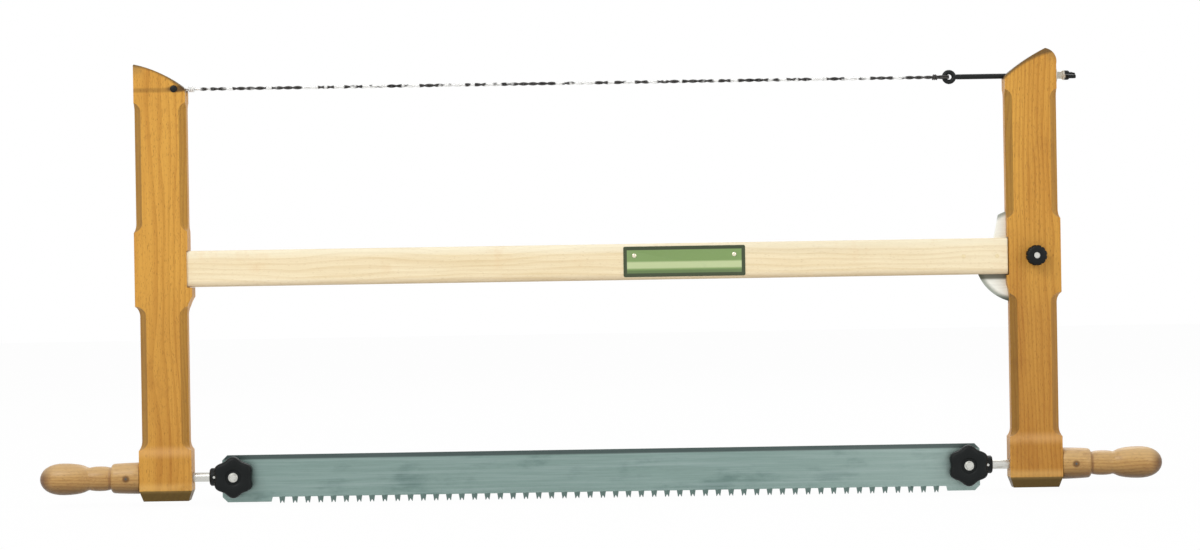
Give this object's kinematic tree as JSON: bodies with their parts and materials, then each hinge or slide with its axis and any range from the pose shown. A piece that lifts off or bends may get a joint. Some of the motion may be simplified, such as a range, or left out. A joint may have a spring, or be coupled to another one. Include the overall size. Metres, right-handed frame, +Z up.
{
  "type": "bow saw",
  "caption": "Wooden frame saw: two arms on a stretcher, a toothed blade turned by end handles, a twisted tension wire with a wing nut and a rocking arm joint.",
  "frame": {"origin": "midway between the arms, in their middle plane, at the level of the arms' feet", "axes": "+X along the blade towards the arm with the wing nut, +Y from the knobs' side to the back, +Z up from the blade to the tension wire"},
  "size_m": [1.0726, 0.0447, 0.4223],
  "materials": {
    "arm_wood": "clear varnished beech, honey orange, satin",
    "stretcher_wood": "pale planed softwood, matt",
    "handle_wood": "turned beech, light lacquer",
    "label_green": "plain two-tone green enamel, bare of lettering",
    "blade_steel": "ground spring steel, long scratches",
    "plate_steel": "zinc plated sheet, brushed",
    "bright_steel": "bright turned steel",
    "dark_steel": "blackened steel, slightly worn",
    "wire_steel": "drawn steel wire, two strands twisted",
    "black_metal": "black lacquered steel",
    "black_plastic": "black moulded plastic, fine texture"
  },
  "bodies": {
    "left_frame": {"left_arm": "arm_wood", "stretcher": "stretcher_wood", "stretcher_label": "label_green", "label_tacks": "bright_steel", "pivot_plate": "plate_steel", "plate_rivets": "bright_steel", "wire_anchor": "dark_steel", "tension_wire": "wire_steel", "tension_rod": "dark_steel"},
    "rocking_arm": {"right_arm": "arm_wood", "pivot_washers": "bright_steel", "pivot_bolt": "bright_steel"},
    "joint_knob": {"pivot_knob": "black_plastic"},
    "blade_unit": {"blade": "blade_steel", "left_blade_holder": "black_metal", "left_clamp_screw": "bright_steel", "left_clamp_washer": "bright_steel", "left_turning_pin": "bright_steel", "left_handle": "handle_wood", "left_holder_pin": "bright_steel", "left_handle_pin": "dark_steel", "right_blade_holder": "black_metal", "right_clamp_screw": "bright_steel", "right_clamp_washer": "bright_steel", "right_turning_pin": "bright_steel", "right_handle": "handle_wood", "right_holder_pin": "bright_steel", "right_handle_pin": "dark_steel"},
    "left_hand_knob": {"left_clamp_knob": "black_plastic", "left_knob_insert": "bright_steel"},
    "right_hand_knob": {"right_clamp_knob": "black_plastic", "right_knob_insert": "bright_steel"},
    "nut_seat": {"wing_washer": "bright_steel"},
    "tension_nut": {"wing_nut": "dark_steel"}
  },
  "joints": [
    {"name": "blade_turn", "type": "hinge", "parent": "left_frame", "child": "blade_unit", "pos_m": [0, 0, 0.022], "axis": [1, 0, 0], "continuous": true},
    {"name": "left_clamp_turn", "type": "hinge", "parent": "blade_unit", "child": "left_hand_knob", "pos_m": [-0.35, -0.012, 0.022], "axis": [0, -1, 0], "continuous": true},
    {"name": "right_clamp_turn", "type": "hinge", "parent": "blade_unit", "child": "right_hand_knob", "pos_m": [0.35, -0.012, 0.022], "axis": [0, -1, 0], "continuous": true},
    {"name": "joint_knob_turn", "type": "hinge", "parent": "rocking_arm", "child": "joint_knob", "pos_m": [0.4169, -0.02, 0.221], "axis": [0, -1, 0], "continuous": true},
    {"name": "wing_nut_turn", "type": "hinge", "parent": "nut_seat", "child": "tension_nut", "pos_m": [0.448, 0, 0.3928], "axis": [1, 0, 0], "range_deg": [0, 1080]},
    {"name": "nut_travel", "type": "slide", "parent": "left_frame", "child": "nut_seat", "axis": [1, 0, 0], "range_m": [0, 0.0025]},
    {"name": "right_arm_rock", "type": "hinge", "parent": "left_frame", "child": "rocking_arm", "pos_m": [0.4169, 0, 0.221], "axis": [0, 1, 0], "range_deg": [0, 0.82]}
  ],
  "couplings": [
    {"joint": "nut_travel", "follows": "wing_nut_turn", "m_per_rad": 0.00012732},
    {"joint": "right_arm_rock", "follows": "wing_nut_turn", "ratio": 0.00074112}
  ]
}
